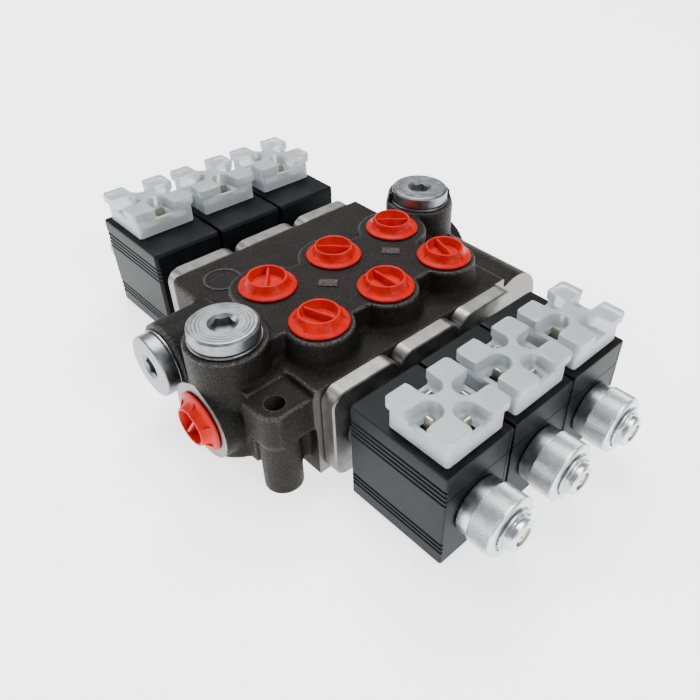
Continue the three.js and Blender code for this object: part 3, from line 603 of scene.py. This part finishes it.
def rounded_rectangle(low, high, radius, steps=8):
    """Outline of a rectangle with round corners, as pairs of numbers, anticlockwise."""
    (a0, b0), (a1, b1) = low, high
    centres = ((a1 - radius, b1 - radius, 0), (a0 + radius, b1 - radius, 1), (a0 + radius, b0 + radius, 2),
               (a1 - radius, b0 + radius, 3))
    return [(a + radius * math.cos((quarter + i / steps) * math.pi / 2),
             b + radius * math.sin((quarter + i / steps) * math.pi / 2))
            for a, b, quarter in centres for i in range(steps + 1)]


def plate_section(x, inset):
    """Outline across a plate at station x, drawn in by the inset."""
    low, high = (-18.8 + inset, 0.6 - spool_z + inset), (18.8 - inset, shoulder - spool_z - inset)
    return [(x, y, z) for y, z in rounded_rectangle(low, high, 7 - inset, 12)]


def at_each_solenoid(piece, name, finish, node, crease, moves=False):
    """Fits a copy of a piece at all six places, for the CAD node it stands for, if it has one."""
    for tag, place in solenoids.items():
        body = f"{node}_{tag}" if moves else "valve"
        fitted(piece, f"{name}_{tag}", [finish], body, [f"{node}_{tag}"] if node else [], place, crease)
    bpy.data.objects.remove(piece)


plate = workpiece(lofted([plate_section(gap, 0.4), plate_section(0.7, 0), plate_section(7.3, 0),
                          plate_section(7.75, 0.25), plate_section(8.0, 0.7)]))
carved(plate, "DIFFERENCE", rod("x", -1, 5.1, 13.3))
carved(plate, "DIFFERENCE", rod("x", 4, 9, 9.8))
at_each_solenoid(plate, "steel_plate", milled_steel, "adapter_plate", 25)

# ---- Armature tubes ------------------------------------------------------------------------------
# Zinc-plated steel tubes that the coils slide over. A rubber ring seals each against its plate, and
# outside the nut come a thin collar, a hexagon and the bored tip that holds the override pin.
bright_zinc = Finish("bright_zinc", Metallic=1.0)
scuffs = bright_zinc.grain(0.4, 3)
bloom = bright_zinc.grain(3.5, 3)
bright_zinc.feed(Base_Color=bright_zinc.tint(bright_zinc.between(bloom, 0, 1), (0.54, 0.56, 0.57),
                                             (0.70, 0.71, 0.71)),
                 Roughness=bright_zinc.between(bloom, 0.28, 0.4),
                 Normal=bright_zinc.relief(scuffs, 0.006, 0.5))
tube_low, tube_high = (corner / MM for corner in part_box("armature_tube_1_front"))
tube_end = tube_high.x - tube_low.x + gap
hex_start = tube_end - 4.9
flange, stem, thread, bore = 13, 9.5, 8, 3.3
tube = workpiece(turned([(gap, 0), (gap, flange - 0.2), (0.5, flange), (4.6, flange), (4.8, flange - 0.2),
                         (4.8, stem), (9.4, stem), (9.5, 9.1), (10.6, 9.1), (10.7, stem), (71.6, stem),
                         (72, 9.1), (72, thread), (hex_start, thread), (hex_start, 8.9),
                         (hex_start + 0.2, 9.1), (hex_start + 0.8, 9.1), (hex_start + 1, 8.9),
                         (hex_start + 1, 7.6), (tube_end - 3, 7.6), (tube_end - 2.8, 7.0),
                         (tube_end - 0.8, 7.0), (tube_end - 0.15, 6.35), (tube_end, 6.1), (tube_end, 0)], 96))
tube.data.transform(Matrix.Rotation(math.pi / 2, 4, "Y"))
hexagon = rod("x", hex_start + 0.9, tube_end - 2.6, 8.4, steps=6)
carved(tube, "UNION", hexagon)
carved(tube, "DIFFERENCE", rod("x", -1, 15, 6.2), rod("x", 22, 65.9, 7.3),
       rod("x", tube_end - 1.2, tube_end + 1, 4.2))
carved(tube, "DIFFERENCE", rod("x", 14, 23, 2.8), rod("x", 65, tube_end + 1, bore))
at_each_solenoid(tube, "zinc_tube", bright_zinc, "armature_tube", 25)

rubber = Finish("black_rubber", Specular_IOR_Level=0.3)
bloomed = rubber.grain(1.2, 3)
rubber.feed(Base_Color=rubber.tint(bloomed, (0.010, 0.010, 0.011), (0.022, 0.022, 0.024)),
            Roughness=rubber.between(bloomed, 0.45, 0.62), Normal=rubber.relief(bloomed, 0.04, 0.4))
cord_steps, ring_steps = 24, 72
seal_profile = [(11.2 + 1.5 * math.cos(a), 9.5 + 1.35 * math.sin(a)) for a in
                [2 * math.pi * i / cord_steps for i in range(cord_steps)]]
seal_shell = bmesh.new()
seal_rings = [[seal_shell.verts.new((x, r * math.cos(t), r * math.sin(t))) for r, x in seal_profile]
              for t in [2 * math.pi * i / ring_steps for i in range(ring_steps)]]
for i, here in enumerate(seal_rings):
    beyond = seal_rings[(i + 1) % ring_steps]
    for k in range(cord_steps):
        after = (k + 1) % cord_steps
        seal_shell.faces.new((here[k], here[after], beyond[after], beyond[k]))
bmesh.ops.recalc_face_normals(seal_shell, faces=seal_shell.faces)
at_each_solenoid(workpiece(seal_shell), "tube_seal", rubber, None, 40)

# ---- Coils ---------------------------------------------------------------------------------------
# Copper windings and their steel yoke moulded into black nylon. Grooves run along both sides, a seam
# crosses the outer face, and four tinned contact blades stand on the terminal block on top.
black_moulding = Finish("black_nylon_moulding", Specular_IOR_Level=0.1)
texture = black_moulding.grain(0.4, 3)
sheen_patches = black_moulding.grain(8, 2)
black_moulding.feed(Base_Color=black_moulding.tint(black_moulding.between(sheen_patches, 0, 1),
                                                   (0.003, 0.0034, 0.0042), (0.006, 0.007, 0.009)),
                    Roughness=black_moulding.between(texture, 0.36, 0.5),
                    Normal=black_moulding.relief(texture, 0.05, 0.5))
tin = Finish("tinned_brass", Metallic=1.0)
tarnish = tin.grain(1.5, 3)
tin.feed(Base_Color=tin.tint(tin.between(tarnish, 0, 1), (0.42, 0.38, 0.30), (0.62, 0.58, 0.48)),
         Roughness=tin.between(tarnish, 0.26, 0.42), Normal=tin.relief(tarnish, 0.03, 0.4))
coil_start, coil_end = 16.8, 68.4
coil_low, coil_high = 0.9 - spool_z, 51.5 - spool_z
groove_heights = [8.6, 11.0, 13.4, 36.8, 39.2, 41.6, 44.0]
groove_depth, groove_mouth, groove_floor = 0.5, 0.75, 0.4


def coil_section(x, inset):
    """Outline across the coil: up the +Y side, over the top and down the other side."""
    half = 18.5 - inset
    side_points = [(half, coil_low + 0.9 + inset)]
    for height in groove_heights:
        z = height - spool_z
        side_points += [(half, z - groove_mouth), (half - groove_depth, z - groove_floor),
                        (half - groove_depth, z + groove_floor), (half, z + groove_mouth)]
    side_points += [(half, coil_high - 1.1 - inset), (half - 0.35, coil_high - 0.35 - inset),
                    (half - 1.1, coil_high - inset)]
    bottom = [(half - 0.9, coil_low + inset)]
    right = bottom + side_points
    left = [(-y, z) for y, z in reversed(right)]
    return [(x, y, z) for y, z in right + left]


coil_shell = lofted([coil_section(coil_start, 1.3), coil_section(coil_start + 1.2, 0.15),
                     coil_section(coil_start + 1.6, 0), coil_section(coil_end - 0.8, 0),
                     coil_section(coil_end - 0.25, 0.2), coil_section(coil_end, 0.75)])
coil = workpiece(coil_shell)
guard_half_x, guard_half_y = 15, 15.5
terminal_half_x, terminal_half_y = 12.3, 12.8
guard_x = coil_end - 3 - guard_half_x
carved(coil, "UNION", block((guard_x - terminal_half_x, -terminal_half_y, coil_high - 1),
                            (guard_x + terminal_half_x, terminal_half_y, coil_high + 4.5)))
carved(coil, "DIFFERENCE", rod("x", 0, 80, 9.8, steps=96))
carved(coil, "DIFFERENCE", rod("x", 0, coil_start + 1.0, 12.5, steps=96))
seam_z, seam_depth = 39.2 - spool_z, 0.3
carved(coil, "DIFFERENCE", block((coil_end - seam_depth, -30, seam_z - 0.22), (80, 30, seam_z + 0.22)))
carved(coil, "DIFFERENCE", block((coil_end - seam_depth, 15.9, -30), (80, 16.25, 40)))
at_each_solenoid(coil, "moulded_coil", black_moulding, "coil", 28)

blade_out, blade_half, blade_thin = 9.4, 2.3, 0.45
blade_foot, blade_tip = coil_high + 4.3, coil_high + 10.8
blade_places = [(blade_out, 0), (-blade_out, 0), (0, blade_out), (0, -blade_out)]
blades = []
for x, y in blade_places:
    reach_x, reach_y = (blade_thin, blade_half) if y == 0 else (blade_half, blade_thin)
    foot = [(guard_x + x - reach_x, y - reach_y), (guard_x + x + reach_x, y - reach_y),
            (guard_x + x + reach_x, y + reach_y), (guard_x + x - reach_x, y + reach_y)]
    tip = [(guard_x + x + (a - guard_x - x) * 0.62, y + (b - y) * 0.62) for a, b in foot]
    blades.append(lofted([[(a, b, blade_foot) for a, b in foot], [(a, b, blade_tip - 1.4) for a, b in foot],
                          [(a, b, blade_tip) for a, b in tip]]))
at_each_solenoid(workpiece(*blades), "contact_blades", tin, None, 30)

# ---- Terminal guards -----------------------------------------------------------------------------
# Milky nylon caps pushed over the terminal blocks for transport. Each flares to a lip, and a pocket
# with a round end is let into the middle of every side round a contact blade.
milky = Finish("milky_nylon", IOR=1.5, Subsurface_Weight=0.45, Subsurface_Scale=4 * MM,
               Transmission_Weight=0.64)
milky.shader.inputs["Subsurface Radius"].default_value = (1.0, 1.0, 1.0)
cloudy = milky.grain(6, 3)
skin = milky.grain(0.8, 2)
milky.feed(Base_Color=milky.tint(milky.between(cloudy, 0, 1), (0.68, 0.73, 0.76), (0.78, 0.82, 0.84)),
           Roughness=milky.between(skin, 0.3, 0.42), Normal=milky.relief(skin, 0.02, 0.3))
guard_low = coil_high + gap


def guard_section(z, grow, radius):
    """Outline round a guard at a height over its foot, grown by the flare of its lip."""
    low = (guard_x - guard_half_x - grow, -guard_half_y - grow)
    high = (guard_x + guard_half_x + grow, guard_half_y + grow)
    return [(x, y, guard_low + z) for x, y in rounded_rectangle(low, high, radius, 6)]


def pocket(x, y):
    """A slot from the round end at x, y out through the side, open at the top."""
    angle = math.atan2(y, x)
    round_end, half_width = 5, 5.4
    points = [(round_end * math.cos(a), round_end * math.sin(a)) for a in
              [math.pi / 2 + math.pi * i / 16 for i in range(17)]]
    points += [(4.8, -round_end), (6.6, -half_width), (20, -half_width), (20, half_width),
               (6.6, half_width), (4.8, round_end)]
    shell = lofted([[(a, b, 8) for a, b in points], [(a, b, 20) for a, b in points]])
    shell.transform(Matrix.Translation((guard_x + x, y, guard_low)) @ Matrix.Rotation(angle, 4, "Z"))
    return shell


guard = workpiece(lofted([guard_section(0, 0, 1.6), guard_section(9.4, 0, 1.8),
                          guard_section(10.2, 1.25, 2.3), guard_section(14.5, 1.35, 2.5)]))
carved(guard, "DIFFERENCE", *[pocket(x, y) for x, y in blade_places])
cavity_x, cavity_y = terminal_half_x + gap, terminal_half_y + gap
carved(guard, "DIFFERENCE", block((guard_x - cavity_x, -cavity_y, guard_low - 5),
                                  (guard_x + cavity_x, cavity_y, guard_low + 4.5)))
slot_half = 3.5
carved(guard, "DIFFERENCE", *[block((guard_x + x - slot_half, y - slot_half, guard_low + 3),
                                    (guard_x + x + slot_half, y + slot_half, guard_low + 9))
                              for x, y in blade_places])
softened(guard, 0.4, 1)
at_each_solenoid(guard, "milky_guard", milky, "terminal_guard", 60)

# ---- Coil nuts -----------------------------------------------------------------------------------
# Turned and zinc-plated nuts that hold the coils on their tubes. The foot by the coil is a smooth
# cone, and a diamond knurl is rolled into the drum before its chamfered rim.
knurl = bpy.data.node_groups.new("diamond_knurl", "GeometryNodeTree")
for label, kind in (("Radius", "NodeSocketFloat"), ("Start", "NodeSocketFloat"),
                    ("Row gap", "NodeSocketFloat"), ("Around", "NodeSocketInt"), ("Rows", "NodeSocketInt"),
                    ("Height", "NodeSocketFloat"), ("Material", "NodeSocketMaterial")):
    knurl.interface.new_socket(label, in_out="INPUT", socket_type=kind)
knurl.interface.new_socket("Geometry", in_out="OUTPUT", socket_type="NodeSocketGeometry")


def tree_node(tree, kind, settings, sockets, output=0):
    """One node of a geometry tree, with its settings and the values or links of its sockets."""
    made = tree.nodes.new(kind)
    for setting, value in settings.items():
        setattr(made, setting, value)
    for socket, value in sockets.items():
        if isinstance(value, bpy.types.NodeSocket):
            tree.links.new(value, made.inputs[socket])
        else:
            made.inputs[socket].default_value = value
    return made.outputs[output]


def tree_maths(tree, operation, first, second=0.0):
    """A maths node of a geometry tree."""
    return tree_node(tree, "ShaderNodeMath", {"operation": operation}, {0: first, 1: second})


sizes = knurl.nodes.new("NodeGroupInput").outputs
index = tree_node(knurl, "GeometryNodeInputIndex", {}, {})
row_number = tree_maths(knurl, "FLOOR", tree_maths(knurl, "DIVIDE", index, sizes["Around"]))
column = tree_maths(knurl, "SUBTRACT", index, tree_maths(knurl, "MULTIPLY", row_number, sizes["Around"]))
stagger = tree_maths(knurl, "MULTIPLY", tree_maths(knurl, "MODULO", row_number, 2.0), 0.5)
turn = tree_maths(knurl, "MULTIPLY", tree_maths(knurl, "DIVIDE", tree_maths(knurl, "ADD", column, stagger),
                                                sizes["Around"]), 2 * math.pi)
station = tree_maths(knurl, "ADD", sizes["Start"],
                     tree_maths(knurl, "MULTIPLY", row_number, sizes["Row gap"]))
point_y = tree_maths(knurl, "MULTIPLY", tree_maths(knurl, "MULTIPLY", tree_maths(knurl, "SINE", turn),
                                                   sizes["Radius"]), -1.0)
point_z = tree_maths(knurl, "MULTIPLY", tree_maths(knurl, "COSINE", turn), sizes["Radius"])
point_place = tree_node(knurl, "ShaderNodeCombineXYZ", {}, {0: station, 1: point_y, 2: point_z})
points = tree_node(knurl, "GeometryNodePoints", {}, {
    "Count": tree_maths(knurl, "MULTIPLY", sizes["Around"], sizes["Rows"]), "Position": point_place})
diamond = tree_node(knurl, "GeometryNodeMeshCone", {"fill_type": "NGON"}, {
    "Vertices": 4, "Radius Top": 0.0, "Radius Bottom": sizes["Row gap"], "Depth": sizes["Height"]})
point_turn = tree_node(knurl, "ShaderNodeCombineXYZ", {}, {0: turn, 1: 0.0, 2: 0.0})
standing = tree_node(knurl, "GeometryNodeInstanceOnPoints", {}, {
    "Points": points, "Instance": diamond, "Rotation": point_turn})
real = tree_node(knurl, "GeometryNodeRealizeInstances", {}, {"Geometry": standing})
painted = tree_node(knurl, "GeometryNodeSetMaterial", {}, {"Geometry": real, "Material": sizes["Material"]})
knurl.links.new(painted, knurl.nodes.new("NodeGroupOutput").inputs["Geometry"])


def grown(tree, values):
    """An object whose mesh a geometry tree makes, with the tree's inputs set by name."""
    host = workpiece()
    modifier = host.modifiers.new("tree", "NODES")
    modifier.node_group = tree
    for item in tree.interface.items_tree:
        if item.in_out == "INPUT" and item.name in values:
            modifier[item.identifier] = values[item.name]
    return settled(host)


nut_start, nut_end = 68.7, 86.0
drum, rim = 13.05, 13.35
drum_start, drum_end = nut_start + 5.8, nut_end - 1.2
nut = workpiece(turned([(nut_start, 0), (nut_start, 12.0), (nut_start + 0.4, 12.4), (drum_start - 0.2, 12.75),
                        (drum_start, drum), (drum_end, drum), (drum_end + 0.2, rim), (drum_end + 0.4, rim),
                        (nut_end - 0.15, rim - 0.7), (nut_end, rim - 1.0), (nut_end, 0)], 144))
nut.data.transform(Matrix.Rotation(math.pi / 2, 4, "Y"))
carved(nut, "DIFFERENCE", rod("x", nut_start - 1, 72.3, stem + gap, steps=96),
       rod("x", nut_end - 1.4, nut_end + 1, stem + gap, steps=96))
carved(nut, "DIFFERENCE", rod("x", 70, nut_end + 1, thread + gap, steps=96))
nut.data.materials.append(bright_zinc.material)
around = 88
row_gap = math.pi * drum / around
rows = int((drum_end - drum_start) / row_gap) - 1
diamonds = grown(knurl, {"Radius": drum - 0.04, "Start": drum_start + row_gap * 1.1, "Row gap": row_gap,
                         "Around": around, "Rows": rows, "Height": 0.42, "Material": bright_zinc.material})
whole_nut = bmesh.new()
whole_nut.from_mesh(nut.data)
whole_nut.from_mesh(diamonds.data)
whole_nut.to_mesh(nut.data)
whole_nut.free()
bpy.data.objects.remove(diamonds)
at_each_solenoid(nut, "knurled_nut", bright_zinc, "coil_nut", 25, moves=True)

# ---- Override pins and armatures -----------------------------------------------------------------
# Turned brass pins in the tips of the tubes, pushed by hand to shift a spool without power. The
# ground armatures and spools that they push run inside and can't be seen when assembled.
brass = Finish("turned_brass", Metallic=1.0)
drawn = brass.grain(0.8, 3)
brass.feed(Base_Color=brass.tint(brass.between(drawn, 0, 1), (0.40, 0.35, 0.26), (0.54, 0.48, 0.37)),
           Roughness=brass.between(drawn, 0.24, 0.38), Normal=brass.relief(drawn, 0.02, 0.4))
pin_low, pin_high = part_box("override_pin_1_front")
pin_recess = 0.5
pin_start = pin_low.x / MM - tube_low.x + gap
pin_end = pin_high.x / MM - tube_low.x + gap - pin_recess
pin = workpiece(turned([(pin_start, 0), (pin_start, 4.3), (pin_start + 0.2, 4.5), (pin_start + 1.8, 4.5),
                        (pin_start + 2, 4.3), (pin_start + 2, 3), (pin_end - 0.5, 3), (pin_end, 2.5),
                        (pin_end, 1.1), (pin_end - 0.5, 0.5), (pin_end - 0.6, 0)], 64))
pin.data.transform(Matrix.Rotation(math.pi / 2, 4, "Y"))
at_each_solenoid(pin, "brass_pin", brass, "override_pin", 28, moves=True)

ground_steel = Finish("ground_steel", Metallic=1.0)
wheel_marks = ground_steel.grain(0.25, 3, (1, 6, 6))
ground_steel.feed(Base_Color=ground_steel.tint(wheel_marks, (0.56, 0.56, 0.57), (0.68, 0.68, 0.69)),
                  Roughness=ground_steel.between(wheel_marks, 0.16, 0.28),
                  Normal=ground_steel.relief(wheel_marks, 0.01, 0.4))
for node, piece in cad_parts.items():
    if node.startswith(("armature_", "spool_")) and not node.startswith("armature_tube"):
        piece.data.materials.clear()
        piece.data.materials.append(ground_steel.material)

# ---- Centring springs ----------------------------------------------------------------------------
# Drawn spring wire wound round the push pins, in the pockets of the rear tubes.
coiling = bpy.data.node_groups.new("wound_spring", "GeometryNodeTree")
for label, kind in (("Radius", "NodeSocketFloat"), ("Length", "NodeSocketFloat"),
                    ("Turns", "NodeSocketFloat"), ("Wire radius", "NodeSocketFloat"),
                    ("Material", "NodeSocketMaterial")):
    coiling.interface.new_socket(label, in_out="INPUT", socket_type=kind)
coiling.interface.new_socket("Geometry", in_out="OUTPUT", socket_type="NodeSocketGeometry")
spring_sizes = coiling.nodes.new("NodeGroupInput").outputs
helix = tree_node(coiling, "GeometryNodeCurveSpiral", {}, {
    "Resolution": 24, "Rotations": spring_sizes["Turns"], "Start Radius": spring_sizes["Radius"],
    "End Radius": spring_sizes["Radius"], "Height": spring_sizes["Length"]})
wire = tree_node(coiling, "GeometryNodeCurvePrimitiveCircle", {}, {
    "Resolution": 12, "Radius": spring_sizes["Wire radius"]})
wound = tree_node(coiling, "GeometryNodeCurveToMesh", {}, {
    "Curve": helix, "Profile Curve": wire, "Fill Caps": True})
wound_real = tree_node(coiling, "GeometryNodeRealizeInstances", {}, {"Geometry": wound})
wound_painted = tree_node(coiling, "GeometryNodeSetMaterial", {}, {
    "Geometry": wound_real, "Material": spring_sizes["Material"]})
coiling.links.new(wound_painted, coiling.nodes.new("NodeGroupOutput").inputs["Geometry"])
spring_wire = Finish("spring_wire", Metallic=1.0)
scale_marks = spring_wire.grain(0.5, 3)
spring_wire.feed(Base_Color=spring_wire.tint(scale_marks, (0.26, 0.27, 0.28), (0.40, 0.41, 0.42)),
                 Roughness=spring_wire.between(scale_marks, 0.24, 0.36),
                 Normal=spring_wire.relief(scale_marks, 0.02, 0.4))
end_space = 0.6
for number in (1, 2, 3):
    low, high = (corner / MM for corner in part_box(f"centring_spring_{number}"))
    middle = (low + high) / 2
    coil_wire = grown(coiling, {"Radius": 5.0, "Length": high.x - low.x - 2 * end_space, "Turns": 4.0,
                                "Wire radius": 0.55, "Material": spring_wire.material})
    place = (Matrix.Scale(MM, 4) @ Matrix.Translation((low.x + end_space, middle.y, middle.z))
             @ Matrix.Rotation(math.pi / 2, 4, "Y"))
    spring = fitted(coil_wire, f"wire_spring_{number}", [spring_wire], "valve", [f"centring_spring_{number}"],
                    place, 40)
    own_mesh(spring)
    bpy.data.objects.remove(coil_wire)

bpy.data.objects.remove(casting)
